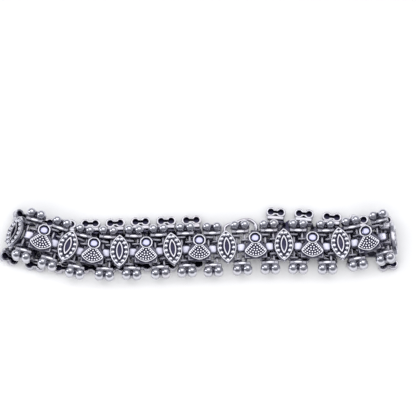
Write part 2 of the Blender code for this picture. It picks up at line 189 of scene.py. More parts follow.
# Chain
PITCH = 6.3
PITCH_SHARES = [(7, 0.945), (8, 0.985), (6, 1.055), (1, 0.98), (4, 1.035)]
AXIS_SMOOTHING = 30
ROUTE = [
    (49.6, 2.5, 2.2), (46.1, 2.45, 2.2), (39.2, 2.2, 2.2), (33.4, 2.05, 2.2), (27.0, 1.68, 2.2),
    (21.1, 1.55, 2.2), (16.0, 1.4, 2.2), (12.4, 1.64, 2.2), (9.3, 2.15, 2.2), (7.2, 2.6, 2.2),
    (4.2, 3.5, 2.31), (3.0, 3.85, 4.0), (6.6, 2.8, 5.95), (13.6, 0.63, 5.3), (19.0, -0.96, 4.6),
    (25.4, -1.25, 4.3), (31.5, -0.99, 4.22), (37.6, -0.74, 4.22), (44.0, -0.33, 4.22),
    (50.5, -0.23, 4.22), (56.6, 0.18, 4.22), (63.5, 0.43, 4.22), (69.8, 0.48, 4.22),
    (76.4, 0.34, 4.3), (82.7, 1.07, 4.6), (89.0, 2.02, 6.0), (91.2, 2.3, 6.4), (91.3, 2.28, 2.2),
    (89.3, 2.24, 2.2), (84.0, 2.6, 2.2), (77.0, 3.3, 2.2), (70.7, 4.1, 2.2), (64.0, 4.5, 2.2),
    (56.5, 5.3, 2.2),
]
SLACK_TURNS = {
    16: 1, 18: -4, 21: 2, 22: 4, 23: 4, 24: 3, 25: 5, 26: 3, 28: -3, 39: 1.5, 42: -2.5, 45: -4, 46: -3,
    47: -1,
}
HOOK_BEND = [
    (52.75, 5.3), (52.85, 6.3), (53.7, 7.0), (55.2, 7.3), (56.6, 8.0), (58.4, 8.3), (59.9, 7.3),
    (60.2, 6.1), (60.0, 4.85), (59.3, 3.8), (57.9, 3.6),
]

# Camera
VIEW_ELEVATION = 68
VIEW_CENTRE = (2.26, 9.08, 3.67)
VIEW_WIDTH = 97.8
VIEW_DISTANCE = 600
SENSOR_WIDTH = 36

# Finish
COOL_COLOUR = (0.43, 0.43, 0.74)
WARM_SHIFT = (1.01, 0.95, 0.93)
# How much brighter than polished silver the painted sheen makes the colour
RUBBED_AND_SHEEN_BRIGHTNESS = 1.36
SHARP_EDGE = 38


class BraceletSettings(bpy.types.PropertyGroup):
    silver_colour: FloatVectorProperty(
        name="Silver", description="Colour of the polished silver", subtype="COLOR", size=3, min=0, max=1,
        default=(0.66, 0.66, 0.73),
    )
    recess_colour: FloatVectorProperty(
        name="Oxide", description="Colour of the oxide left in the recesses", subtype="COLOR", size=3,
        min=0, max=1, default=(0.042, 0.039, 0.078),
    )
    polish_roughness: FloatProperty(
        name="Polish", description="Roughness of the polished high points", min=0.02, max=1, default=0.17,
    )
    oxide_depth: FloatProperty(
        name="Oxide reach", description="How far from a corner the oxide reaches", subtype="DISTANCE",
        unit="LENGTH", min=0.0, default=0.0011,
    )
    grain_pitch: FloatProperty(
        name="Grain pitch", description="Distance between neighbouring grains of a fan plate",
        subtype="DISTANCE", unit="LENGTH", min=0.0002, default=0.0006,
    )
    floor_colour: FloatVectorProperty(
        name="Floor", description="Colour of the studio floor", subtype="COLOR", size=3, min=0, max=1,
        default=(0.90, 0.90, 0.90),
    )


class Socket:
    """An output of a shader node that Python's operators combine with numbers or other outputs."""

    def __init__(self, tree, output):
        self.tree = tree
        self.output = output

    def maths(self, operation, *terms, clamp=False):
        node = self.tree.nodes.new("ShaderNodeMath")
        node.operation = operation
        node.use_clamp = clamp
        for entry, term in zip(node.inputs, terms):
            join(self.tree, term, entry)
        return Socket(self.tree, node.outputs[0])

    def __add__(self, other):
        return self.maths("ADD", self, other)

    def __radd__(self, other):
        return self.maths("ADD", other, self)

    def __sub__(self, other):
        return self.maths("SUBTRACT", self, other)

    def __rsub__(self, other):
        return self.maths("SUBTRACT", other, self)

    def __mul__(self, other):
        return self.maths("MULTIPLY", self, other)

    def __rmul__(self, other):
        return self.maths("MULTIPLY", other, self)

    def __truediv__(self, other):
        return self.maths("DIVIDE", self, other)

    def __pow__(self, other):
        return self.maths("POWER", self, other)

    def clamped(self):
        return self.maths("ADD", self, 0.0, clamp=True)


def join(tree, term, entry):
    """Feed a node's input from a socket, or set it to a value."""
    if isinstance(term, Socket):
        tree.links.new(term.output, entry)
    else:
        entry.default_value = term


class Shader:
    """A material's node tree, built by expressions that end in its Principled shader."""

    def __init__(self, name):
        self.material = bpy.data.materials.new(name)
        self.material.use_nodes = True
        self.tree = self.material.node_tree
        self.surface = self.tree.nodes["Principled BSDF"]

    def node(self, kind, settings=None, output=0, **values):
        node = self.tree.nodes.new(kind)
        for name, value in (settings or {}).items():
            setattr(node, name, value)
        for name, value in values.items():
            join(self.tree, value, node.inputs[name.replace("_", " ")])
        return Socket(self.tree, node.outputs[output])

    def noise(self, place, scale, detail=2.0):
        return self.node("ShaderNodeTexNoise", output="Fac", Vector=place, Scale=scale, Detail=detail)

    def mix(self, share, one, other):
        node = self.tree.nodes.new("ShaderNodeMix")
        node.data_type = "RGBA"
        for entry, term in zip((node.inputs[0], node.inputs[6], node.inputs[7]), (share, one, other)):
            join(self.tree, term, entry)
        return Socket(self.tree, node.outputs[2])

    def feed(self, **values):
        for name, value in values.items():
            join(self.tree, value, self.surface.inputs[name.replace("_", " ")])
        return self.material


def rgba(colour, factor=1.0):
    return (*(min(1.0, part * factor) for part in colour), 1.0)


def silver(name, lift, blur):
    """Silver with oxide in its recesses and painted sheen. Polish and sheen and nearby corners say where it
    shines.
    """
    settings = bpy.context.scene.bracelet
    shader = Shader(name)
    place = shader.node("ShaderNodeTexCoord", output="Object")
    polish_and_sheen = shader.node("ShaderNodeAttribute", {"attribute_name": "polish_and_sheen"}, output="Fac")
    cool = shader.node("ShaderNodeAttribute", {"attribute_name": "cool"}, output="Fac")
    openness = shader.node(
        "ShaderNodeAmbientOcclusion", {"samples": 8}, output="AO", Distance=settings.oxide_depth,
    )
    stains = shader.noise(place, 420.0, 3.0)
    wear = shader.noise(place, 2300.0, 2.0)
    clean = (polish_and_sheen + lift + (stains - 0.5) * 0.5 + (wear - 0.5) * 0.3).clamped()
    # Painted sheen: above polish 1 the oxide is rubbed out of the recesses and the colour is lifted past
    # polished silver.
    rubbed = ((polish_and_sheen - 1.0) * 3.0).clamped()
    cover = openness ** 2.4
    shine = (clean * (cover + rubbed * (1.0 - cover)) * 1.1).clamped()
    colour = rgba(settings.silver_colour)
    warm = rgba([part * shift for part, shift in zip(colour, WARM_SHIFT)])
    height = shader.node("ShaderNodeSeparateXYZ", output="Z", Vector=place)
    low_down = ((0.0045 - height) * 500.0).clamped() * 0.4
    hue = shader.mix((low_down + (shader.noise(place, 190.0, 1.0) - 0.5) * 2.5).clamped(), colour, warm)
    # Painted sheen: brighter than polished silver where polish passes 1.
    hue = shader.mix(rubbed * 0.8, hue, rgba(settings.silver_colour, RUBBED_AND_SHEEN_BRIGHTNESS))
    hue = shader.mix(cool, hue, rgba(COOL_COLOUR))
    base = shader.mix(shine, rgba(settings.recess_colour), hue)
    roughness = settings.polish_roughness + blur + (1.0 - shine) * 0.3 + (wear - 0.5) * 0.12
    dents = shader.node(
        "ShaderNodeBump", output="Normal", Strength=0.22, Distance=0.00004, Height=wear + stains,
    )
    return shader.feed(Base_Color=base, Metallic=1.0, Roughness=roughness.clamped(), Normal=dents)


def named_material(name):
    """The material of that name, made the first time that it is asked for."""
    found = bpy.data.materials.get(name)
    if found:
        return found
    if name == "Clasp wire":
        return silver(name, 0.2, -0.02)
    return silver(name, 0.0, 0.0)


def loft(rings):
    """A closed body through outlines of equal length, each at its own level, capped at both ends."""
    mesh = bmesh.new()
    loops = [[mesh.verts.new((x, y, level)) for x, y in outline] for outline, level in rings]
    mesh.faces.new(loops[0])
    mesh.faces.new(loops[-1])
    for lower, upper in zip(loops, loops[1:]):
        for i in range(len(lower)):
            j = (i + 1) % len(lower)
            mesh.faces.new((lower[i], lower[j], upper[j], upper[i]))
    bmesh.ops.recalc_face_normals(mesh, faces=mesh.faces[:])
    return mesh


def band(outer, inner, low, high):
    """An upright wall between two outlines of equal length, open in the middle."""
    mesh = bmesh.new()
    turn = [(outer, low), (outer, high), (inner, high), (inner, low)]
    loops = [[mesh.verts.new((x, y, level)) for x, y in outline] for outline, level in turn]
    for lower, upper in zip(loops, loops[1:] + loops[:1]):
        for i in range(len(lower)):
            j = (i + 1) % len(lower)
            mesh.faces.new((lower[i], lower[j], upper[j], upper[i]))
    bmesh.ops.recalc_face_normals(mesh, faces=mesh.faces[:])
    return mesh


def rounded(mesh, width, segments=2, least=35, chosen=None):
    """The mesh with its sharp edges rounded, all of them or those that the test chooses."""
    edges = [
        edge for edge in mesh.edges
        if edge.calc_face_angle(0.0) > math.radians(least) and (chosen is None or chosen(edge))
    ]
    bmesh.ops.bevel(
        mesh, geom=edges, offset=width, segments=segments, profile=0.5, affect="EDGES", clamp_overlap=True,
    )
    return mesh


def bar(near, far, width, segments=2):
    """A straight bar between two opposite corners, with rounded edges."""
    (x0, y0, z0), (x1, y1, z1) = near, far
    outline = [(x0, y0), (x1, y0), (x1, y1), (x0, y1)]
    return rounded(loft([(outline, z0), (outline, z1)]), width, segments)


def dome(x, y, low, radius, height, sides, rings, fullness=1.0):
    """The upper half of an ellipsoid on a flat base, or a flatter button with a fullness under 1."""
    mesh = bmesh.new()
    loops = []
    for k in range(rings):
        turn = math.pi / 2 * k / rings
        reach = radius * math.cos(turn) ** fullness
        level = low + height * math.sin(turn) ** fullness
        angles = [math.tau * i / sides for i in range(sides)]
        circle = [(x + reach * math.cos(a), y + reach * math.sin(a), level) for a in angles]
        loops.append([mesh.verts.new(point) for point in circle])
    crown = mesh.verts.new((x, y, low + height))
    mesh.faces.new(loops[0])
    for i in range(sides):
        j = (i + 1) % sides
        for lower, upper in zip(loops, loops[1:]):
            mesh.faces.new((lower[i], lower[j], upper[j], upper[i]))
        mesh.faces.new((loops[-1][i], loops[-1][j], crown))
    bmesh.ops.recalc_face_normals(mesh, faces=mesh.faces[:])
    return mesh


def tube(centres, radii, normal, sides, closed):
    """A round wire through centres that lie in a plane with the given normal."""
    mesh = bmesh.new()
    count = len(centres)
    rings = []
    for i, centre in enumerate(centres):
        before = centres[i - 1] if closed or i else centre
        after = centres[(i + 1) % count] if closed or i < count - 1 else centre
        sideways = (after - before).normalized().cross(normal)
        angles = [math.tau * k / sides for k in range(sides)]
        offsets = [(sideways * math.cos(a) + normal * math.sin(a)) * radii[i] for a in angles]
        rings.append([mesh.verts.new(centre + offset) for offset in offsets])
    for i in range(count if closed else count - 1):
        one, other = rings[i], rings[(i + 1) % count]
        for k in range(sides):
            j = (k + 1) % sides
            mesh.faces.new((one[k], one[j], other[j], other[k]))
    if not closed:
        mesh.faces.new(rings[0])
        mesh.faces.new(rings[-1])
    bmesh.ops.recalc_face_normals(mesh, faces=mesh.faces[:])
    return mesh


class Casting:
    """The closed parts of one casting in millimetres, with each point's polish and painted sheen and how cool
    it is.
    """

    def __init__(self):
        self.mesh = bmesh.new()
        self.polish_and_sheen = self.mesh.verts.layers.float.new("polish_and_sheen")
        self.cool = self.mesh.verts.layers.float.new("cool")

    def add(self, part, finish, cool=0.0, recess=None):
        """Take a part in with the polish and painted sheen of its finish, which are none in a recess."""
        low, high = POLISH_AND_SHEEN[finish]
        levels = [vertex.co.z for vertex in part.verts]
        bottom, top = min(levels), max(levels)
        copies = {}
        for vertex in part.verts:
            copy = self.mesh.verts.new(vertex.co)
            share = (vertex.co.z - bottom) / max(top - bottom, 1e-6)
            copy[self.polish_and_sheen] = 0.0 if recess and recess(vertex.co) else low + (high - low) * share
            copy[self.cool] = cool
            copies[vertex] = copy
        for face in part.faces:
            self.mesh.faces.new([copies[vertex] for vertex in face.verts])
        part.free()
        return self

    def finished(self, name):
        """The casting as a mesh in metres."""
        bmesh.ops.scale(self.mesh, vec=(MM, MM, MM), verts=self.mesh.verts[:])
        data = bpy.data.meshes.new(name)
        self.mesh.to_mesh(data)
        self.mesh.free()
        return data


def helper(name, mesh):
    obj = bpy.data.objects.new(name, mesh)
    bpy.context.scene.collection.objects.link(obj)
    return obj


def smooth_route(points, steps):
    """A Catmull-Rom curve through the points, as a dense row of points."""
    extended = [2 * points[0] - points[1], *points, 2 * points[-1] - points[-2]]
    row = []
    for a, b, c, d in zip(extended, extended[1:], extended[2:], extended[3:]):
        for k in range(steps):
            u = k / steps
            square, cube = 2 * a - 5 * b + 4 * c - d, 3 * b - a - 3 * c + d
            row.append((2 * b + (c - a) * u + square * u ** 2 + cube * u ** 3) / 2)
    return row + [points[-1]]


def inset(outline, distance):
    """The outline drawn in by a distance along its corners' bisectors. The outline runs anticlockwise."""
    count = len(outline)
    points = [Vector(point) for point in outline]
    drawn = []
    for i, point in enumerate(points):
        one = (point - points[i - 1]).normalized()
        other = (points[(i + 1) % count] - point).normalized()
        normals = Vector((-one.y, one.x)), Vector((-other.y, other.x))
        middle = (normals[0] + normals[1]).normalized()
        drawn.append(tuple(point + middle * distance / max(middle.dot(normals[0]), 0.4)))
    return drawn


def pointed_oval(width, length, points_a_side):
    """A vesica: two equal arcs that meet in a point at each end."""
    radius = (length ** 2 + width ** 2) / (4 * width)
    turn = math.asin(length / 2 / radius)
    angles = [turn * (2 * i / points_a_side - 1) for i in range(points_a_side)]
    right = [(width / 2 - radius + radius * math.cos(a), radius * math.sin(a)) for a in angles]
    return right + [(-x, -y) for x, y in right]


def figure_eight(radius, waist, steps, y):
    """The outline of two circles side by side, joined by a waist of the given half height."""
    opening = math.pi - math.asin(waist / radius)
    turns = [opening * (2 * i / steps - 1) for i in range(steps + 1)]
    right = [(PAIR_HALF + radius * math.cos(a), radius * math.sin(a)) for a in turns]
    return [(x, y + v) for x, v in right + [(-x, -v) for x, v in right]]


def cushion_outline(half, power, sides):
    """A square with rounded corners and sides."""
    outline = []
    for i in range(sides):
        turn = math.tau * (i + 0.5) / sides
        x, y = math.cos(turn), math.sin(turn)
        size = half / (abs(x) ** power + abs(y) ** power) ** (1 / power)
        outline.append((x * size, y * size))
    return outline


def boss_outline(radius, sides):
    """A circle that is drawn a little towards an octagon."""
    outline = []
    for i in range(sides):
        turn = math.tau * i / sides
        corner = (turn + math.pi / 8) % (math.pi / 4) - math.pi / 8
        size = radius * (0.35 + 0.65 * math.cos(math.pi / 8) / math.cos(corner)) * 1.02
        size = min(size, radius)
        outline.append((size * math.cos(turn), BOSS_Y + size * math.sin(turn)))
    return outline


def add_square_loop(casting, frame_corners, hole_corners, near, far, width):
    """A four-sided loop of bar between two levels of Y, from its corners in X and Z."""
    mesh = band(frame_corners, hole_corners, near, far)
    for vertex in mesh.verts:
        vertex.co = (vertex.co.x, vertex.co.z, vertex.co.y)
    bmesh.ops.recalc_face_normals(mesh, faces=mesh.faces[:])
    casting.add(rounded(mesh, width), "hinge loop")


def add_hinge_loops(casting, reach, sides):
    for side in sides:
        for end in (-1, 1):
            level = end * (LOOP_MIDDLE + side * LOOP_STAGGER)
            inner = side * (reach - LOOP_HALF_OPENING)
            outer = side * (reach + LOOP_HALF_OPENING)
            wire = side * LOOP_WIRE
            bottom = LOOP_FLOOR - LOOP_WIRE
            corners = [
                (inner - wire, bottom),
                (outer + wire, bottom),
                (outer + wire, LOOP_CEILING + LOOP_WIRE * 0.6),
                (inner - wire - side * LOOP_ROOT, SLAB_BACK + LOOP_WIRE / 2),
            ]
            hole = [(inner, LOOP_FLOOR), (outer, LOOP_FLOOR), (outer, LOOP_CEILING), (inner, LOOP_CEILING)]
            add_square_loop(casting, corners, hole, level - LOOP_WIDTH / 2, level + LOOP_WIDTH / 2, 0.09)


def connector_casting():
    casting = Casting()
    for side in (-1, 1):
        middle = side * PAIR_OFFSET
        outer = figure_eight(BALL_RADIUS, WAIST_HALF, 26, middle)
        inner = figure_eight(BALL_RADIUS - SHELL_WALL, SLIT_HALF, 26, middle)
        steps = [
            (inner, HOLLOW_DEPTH), (inner, SHELL_LIP), (inner, 0.0), (outer, 0.0), (outer, BARREL_DEPTH),
        ]
        shell = loft(steps)
        rounded(shell, 0.13, 2, 35, lambda edge: max(vertex.co.z for vertex in edge.verts) < 0.01)
        for vertex in shell.verts:
            vertex.co.z = max(vertex.co.z, 0.0)
        casting.add(shell, "shell", recess=lambda point: SHELL_LIP - 0.02 < point.z < HOLLOW_DEPTH + 0.01)
        for half in (-1, 1):
            ball = dome(half * PAIR_HALF, middle, BARREL_DEPTH, BALL_RADIUS, BALL_RADIUS, 32, 8)
            casting.add(ball, "ball")
        ends = sorted((side * LEDGE_INNER, side * LEDGE_OUTER))
        ledge = bar((-LEDGE_HALF, ends[0], 0.0), (LEDGE_HALF, ends[1], BARREL_DEPTH), 0.2, 3)
        casting.add(ledge, "ledge")
        crown = dome(0.0, 0.0, BARREL_DEPTH - CROWN_SINK, CROWN_RADIUS, CROWN_RISE, 24, 4)
        bmesh.ops.scale(crown, vec=CROWN_SHAPE, verts=crown.verts[:])
        bmesh.ops.translate(crown, vec=(0.0, side * (LEDGE_INNER + CROWN_OFFSET), 0.0), verts=crown.verts[:])
        casting.add(crown, "crown")
        for rail in (-RAIL_SPACING / 2, RAIL_SPACING / 2):
            ends = sorted((side * (STUD_HALF - JOINT_OVERLAP), side * (LEDGE_INNER + JOINT_OVERLAP)))
            low = (rail - RAIL_SIDE / 2, ends[0], RAIL_BACK)
            high = (rail + RAIL_SIDE / 2, ends[1], RAIL_BACK + RAIL_SIDE)
            casting.add(bar(low, high, 0.12), "rail")
    stud = loft([
        (cushion_outline(STUD_HALF * share / 1.1, STUD_POWER, 28), level) for share, level in STUD_PROFILE
    ])
    casting.add(stud, "stud", cool=STUD_COOLNESS)
    return casting


def marquise_casting():
    casting = Casting()
    wide, long = MARQUISE_SIZE
    body = pointed_oval(wide, long, 22)
    edge = pointed_oval(wide * 0.95, long * 0.955, 22)
    shelf = pointed_oval(wide * 0.95 - 0.4, long * 0.955 - 0.7, 22)
    floor = pointed_oval(wide * 0.95 - 0.5, long * 0.955 - 0.9, 22)
    levels = [
        (body, SLAB_BACK), (body, FIELD_LEVEL), (edge, MARQUISE_FRONT), (shelf, MARQUISE_FRONT),
        (floor, FIELD_FLOOR + 0.02),
    ]
    slab = rounded(loft(levels), 0.07, 2, 38)
    casting.add(slab, "marquise slab", recess=lambda point: point.z < SLAB_BACK + 0.08)
    for vertex in casting.mesh.verts:
        if FIELD_LEVEL + 0.03 < vertex.co.z < MARQUISE_FRONT - 0.3:
            vertex[casting.polish_and_sheen] = 0.0
    ring = band(pointed_oval(*MARQUISE_RING, 14), pointed_oval(*MARQUISE_SLOT, 14), FIELD_FLOOR - 0.02, FRONT)
    casting.add(rounded(ring, 0.09), "pointed ring")
    pearl_y, pearl_radius, pearl_rise = TIP_PEARL
    casting.add(dome(0.0, pearl_y, FIELD_FLOOR, pearl_radius, pearl_rise, 12, 4), "tip pearl")
    add_hinge_loops(casting, PLATE_REACH, (-1, 1))
    return casting


def wedge_outline():
    right = [tuple(point) for point in smooth_route([Vector(point) for point in FAN_WEDGE], 4)]
    return [(-x, y) for x, y in right] + [(x, y) for x, y in reversed(right[:-1])]


def fan_casting():
    casting = Casting()
    base = FAN_BASE + [(-x, y) for x, y in reversed(FAN_BASE)]
    casting.add(rounded(loft([(base, SLAB_BACK), (base, FIELD_LEVEL)]), 0.07), "fan base")
    for half in (-1, 1):
        for near, far, low, high in CORNER_RIDGES:
            ends = sorted((half * near, half * far))
            casting.add(bar((ends[0], low, 1.9), (ends[1], high, 2.09), 0.05), "corner ridge")
    wedge = wedge_outline()
    casting.add(loft([(wedge, 1.9), (inset(wedge, 0.1), 2.12)]), "fan field")
    casting.add(rounded(band(wedge, inset(wedge, FAN_RIM), 1.92, 2.5), 0.09), "fan rim")
    ring = boss_outline(BOSS_RADIUS, 40)
    inner = [(x * BOSS_RING_SHARE, BOSS_Y + (y - BOSS_Y) * BOSS_RING_SHARE) for x, y in ring]
    casting.add(rounded(band(ring, inner, 1.5, BOSS_RING_TOP), 0.1), "boss ring")
    seat = inset(ring, 0.1)
    casting.add(loft([(seat, 1.6), (seat, 2.1)]), "boss seat")
    button = dome(0.0, BOSS_Y, 2.05, BOSS_DOME_RADIUS, BOSS_DOME_RISE, 28, 8, 0.5)
    casting.add(button, "boss dome", cool=BOSS_COOLNESS)
    add_hinge_loops(casting, PLATE_REACH, (-1, 1))
    return casting


def fan_guides():
    """The arcs that the grains of a fan plate follow: copies of its bottom arc, drawn towards its apex."""
    centre, radius = FAN_ARC
    rise = FAN_APEX - centre
    guides = []
    for row in range(GRAIN_ROWS):
        share = FIRST_ROW_SHARE + ROWS_SHARE * row / (GRAIN_ROWS - 1)
        widest = math.radians(FAN_SPREAD) - math.asin(GRAIN_MARGIN / (share * MEAN_REACH))
        guide = []
        for i in range(17):
            turn = widest * (i / 8 - 1)
            reach = rise * math.cos(turn) + math.sqrt(radius ** 2 - (rise * math.sin(turn)) ** 2)
            x, y = share * reach * math.sin(turn), FAN_APEX - share * reach * math.cos(turn)
            guide.append((x, y, GRAIN_LEVEL))
        guides.append(guide)
    return guides


def guide_mesh(guides, closed):
    """Rows of edges in metres that Geometry Nodes turn into curves."""
    points, edges = [], []
    for guide in guides:
        first = len(points)
        points += [Vector(point) * MM for point in guide]
        edges += [(i, i + 1) for i in range(first, len(points) - 1)]
        if closed:
            edges.append((len(points) - 1, first))
    data = bpy.data.meshes.new("guides")
    data.from_pydata(points, edges, [])
    return data


class NodeTree:
    """A Geometry Nodes tree with named inputs, built node by node."""

    def __init__(self, name, inputs):
        self.group = bpy.data.node_groups.new(name, "GeometryNodeTree")
        self.group.interface.new_socket("Geometry", in_out="OUTPUT", socket_type="NodeSocketGeometry")
        for label, kind in inputs:
            self.group.interface.new_socket(label, in_out="INPUT", socket_type="NodeSocket" + kind)
        self.entry = self.group.nodes.new("NodeGroupInput")
        self.exit = self.group.nodes.new("NodeGroupOutput")

    def given(self, label):
        return self.entry.outputs[label]

    def node(self, kind, settings=None, output=0, **values):
        node = self.group.nodes.new(kind)
        for name, value in (settings or {}).items():
            setattr(node, name, value)
        for name, value in values.items():
            entry = node.inputs[name.replace("_", " ")]
            for term in value if isinstance(value, list) else [value]:
                if isinstance(term, bpy.types.NodeSocket):
                    self.group.links.new(term, entry)
                else:
                    entry.default_value = term
        return node.outputs[output]

    def finish(self, geometry):
        self.group.links.new(geometry, self.exit.inputs[0])
        return self.group


def grain_tree():
    """Grains set along guide curves on a casting."""
    found = bpy.data.node_groups.get("Grains along guides")
    if found:
        return found
    tree = NodeTree("Grains along guides", [
        ("Geometry", "Geometry"), ("Guides", "Object"), ("Grain", "Object"), ("Spacing", "Float"),
        ("Material", "Material"),
    ])
    guides = tree.node("GeometryNodeObjectInfo", output="Geometry", Object=tree.given("Guides"))
    grain = tree.node(
        "GeometryNodeObjectInfo", output="Geometry", Object=tree.given("Grain"), As_Instance=True,
    )
    curves = tree.node("GeometryNodeMeshToCurve", Mesh=guides)
    even = tree.node(
        "GeometryNodeResampleCurve", {"mode": "LENGTH"}, Curve=curves, Length=tree.given("Spacing"),
    )
    grains = tree.node("GeometryNodeInstanceOnPoints", Points=even, Instance=grain)
    solid = tree.node("GeometryNodeRealizeInstances", Geometry=grains)
    joined = tree.node("GeometryNodeJoinGeometry", Geometry=[tree.given("Geometry"), solid])
    return tree.finish(tree.node("GeometryNodeSetMaterial", Geometry=joined, Material=tree.given("Material")))


def chain_tree():
    """Castings set out on the chain's places, each with its own turn."""
    found = bpy.data.node_groups.get("Castings along the chain")
    if found:
        return found
    tree = NodeTree("Castings along the chain", [
        ("Geometry", "Geometry"), ("Casting", "Object"), ("Material", "Material"),
    ])
    casting = tree.node(
        "GeometryNodeObjectInfo", output="Geometry", Object=tree.given("Casting"), As_Instance=True,
    )
    turn = tree.node("GeometryNodeInputNamedAttribute", {"data_type": "FLOAT_VECTOR"}, Name="turn")
    rotation = tree.node("FunctionNodeEulerToRotation", Euler=turn)
    places = tree.node(
        "GeometryNodeInstanceOnPoints", Points=tree.given("Geometry"), Instance=casting, Rotation=rotation,
    )
    solid = tree.node("GeometryNodeRealizeInstances", Geometry=places)
    return tree.finish(tree.node("GeometryNodeSetMaterial", Geometry=solid, Material=tree.given("Material")))


def realised(name, mesh, group, values, helpers):
    """The plain mesh that a Geometry Nodes tree makes of a mesh. The helper objects are removed after it."""
    obj = helper(name, mesh)
    modifier = obj.modifiers.new(name, "NODES")
    modifier.node_group = group
    for item in group.interface.items_tree:
        if item.in_out == "INPUT" and item.name in values:
            modifier[item.identifier] = values[item.name]
    graph = bpy.context.evaluated_depsgraph_get()
    made = bpy.data.meshes.new_from_object(
        obj.evaluated_get(graph), preserve_all_data_layers=True, depsgraph=graph,
    )
    for spare in [obj, *helpers]:
        bpy.data.objects.remove(spare, do_unlink=True)
    made.name = name
    return made


def grained(name, casting, guides, grain, spacing, closed=False):
    """A casting's mesh with grains along its guides."""
    guide = helper("guides", guide_mesh(guides, closed))
    piece = helper("grain", grain.finished("grain"))
    material = named_material("Oxidised silver")
    values = {"Guides": guide, "Grain": piece, "Spacing": spacing, "Material": material}
    return realised(name, casting.finished(name), grain_tree(), values, [guide, piece])


def chords(row, lengths):
    """The ends of straight castings of the given lengths that follow one another along the row of points."""
    found = []
    point, index = row[0], 0
    for length in lengths:
        while (row[index + 1] - point).length < length:
            index += 1
        low, high = 0.0, 1.0
        for _ in range(30):
            middle = (low + high) / 2
            if (row[index].lerp(row[index + 1], middle) - point).length < length:
                low = middle
            else:
                high = middle
        end = row[index].lerp(row[index + 1], low)
        found.append((point, end))
        point = end
    return found


def chain_frames():
    """The kind of each casting along the chain, its place and its three axes, in the route's own frame."""
    kinds = ["end_bail"]
    lengths = [BAIL_LENGTH * MM]
    shares = [share for count, share in PITCH_SHARES for _ in range(count)]
    for place, share in enumerate(shares):
        kinds += ["connector", "marquise_plate" if place % 2 else "fan_plate"]
        lengths += [RAIL_SPACING * MM, (PITCH * share - RAIL_SPACING) * MM]
    kinds += ["connector", "end_bail"]
    lengths += [RAIL_SPACING * MM, BAIL_LENGTH * MM]
    spans = chords(smooth_route([MM * Vector(point) for point in ROUTE], 24), lengths)
    along = [(end - start).normalized() for start, end in spans]
    across = [(Vector((0, 1, 0)) - t * t.y).normalized() for t in along]
    for _ in range(AXIS_SMOOTHING):
        beside = zip(across[:1] + across[:-1], across[1:] + across[-1:])
        sums = [one + other for one, other in beside]
        across = [(v - t * v.dot(t)).normalized() for t, v in zip(along, sums)]
    frames = []
    for place, (kind, (start, end), t, v) in enumerate(zip(kinds, spans, along, across)):
        outward = t.cross(v)
        clockwise = math.radians(SLACK_TURNS.get(place, 0)) * (-1 if outward.z > 0 else 1)
        turn = Matrix.Rotation(clockwise, 3, outward)
        axes = Matrix((turn @ t, turn @ v, outward)).transposed()
        frames.append((kind, (start + end) / 2 - outward * RAIL_LEVEL * MM, axes))
    return frames


def chain_shift(frames):
    """From the route's own frame to the solids', by the middles of the connectors that lie flat."""
    shifts = []
    connectors = [entry for entry in frames if entry[0] == "connector"]
    half = (BARREL_DEPTH + BALL_RADIUS) / 2 * MM
    for number, (kind, middle, axes) in enumerate(connectors, 1):
        outward = axes.col[2]
        if abs(outward.z) > 0.9995:
            low, high = (Vector(corner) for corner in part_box(f"connector_{number:02d}"))
            shifts.append((low + high) / 2 - middle - outward * half)
    return sum(shifts, Vector()) / len(shifts)


def chain_places():
    frames = chain_frames()
    shift = chain_shift(frames)
    return [(kind, middle + shift, axes) for kind, middle, axes in frames]


def set_out(kind, mesh, label):
    """One plain mesh of all castings of a kind, set out along the chain in place of their solids."""
    places = [(middle, axes) for entry, middle, axes in chain_places() if entry == kind]
    points = bpy.data.meshes.new("places")
    points.from_pydata([middle for middle, axes in places], [], [])
    turns = points.attributes.new("turn", "FLOAT_VECTOR", "POINT")
    for value, (middle, axes) in zip(turns.data, places):
        value.vector = axes.to_euler()
    casting = helper("casting", mesh)
    values = {"Casting": casting, "Material": named_material("Oxidised silver")}
    made = realised(label, points, chain_tree(), values, [casting])
    settle(label, made, [f"{kind}_{number:02d}" for number in range(1, len(places) + 1)])


def settle(label, mesh, nodes):
    """Add a finished mesh in place of its solids."""
    mesh.shade_smooth()
    mesh.set_sharp_from_angle(angle=math.radians(SHARP_EDGE))
    if label in bpy.data.objects:
        bpy.data.objects.remove(bpy.data.objects[label], do_unlink=True)
    piece = helper(label, mesh)
    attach(piece, "root")
    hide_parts(*nodes)
    return piece


def placed(casting, name, middle, axes, material):
    """A casting's mesh at its place, with its material."""
    data = casting.finished(name)
    data.transform(Matrix.Translation(middle) @ axes.to_4x4())
    data.materials.append(named_material(material))
    return data


def bail_casting(side):
    """The V-shaped bail with its hinge loops at +X or, with side -1, at -X and its eye at the other end."""
    casting = Casting()
    wide = side * (BAIL_LENGTH / 2 - LOOP_ROOT - LOOP_WIRE)
    tip = -side * (BAIL_LENGTH / 2 - BAIL_EYE / 2 - BAIL_WIRE / 2)
    spread = LOOP_MIDDLE + LOOP_STAGGER + LOOP_WIDTH
    outline = [(wide, -spread), (wide, spread), (tip, BAIL_TIP / 2), (tip, -BAIL_TIP / 2)]
    window = [(x / 2, y / 2) for x, y in outline]
    casting.add(rounded(band(outline, window, SLAB_BACK, FIELD_LEVEL), 0.13, 3), "bail")
    eye = -side * BAIL_LENGTH / 2
    half = BAIL_EYE / 2
    rim = half + BAIL_WIRE
    corners = [(-1, -1), (1, -1), (1, 1), (-1, 1)]
    outer = [(eye + x * rim, BAIL_EYE_LEVEL + z * rim) for x, z in corners]
    hole = [(eye + x * half, BAIL_EYE_LEVEL + z * half) for x, z in corners]
    add_square_loop(casting, outer, hole, -BAIL_WIDTH / 2, BAIL_WIDTH / 2, 0.13)
    add_hinge_loops(casting, BAIL_LENGTH / 2, (side,))
    return casting


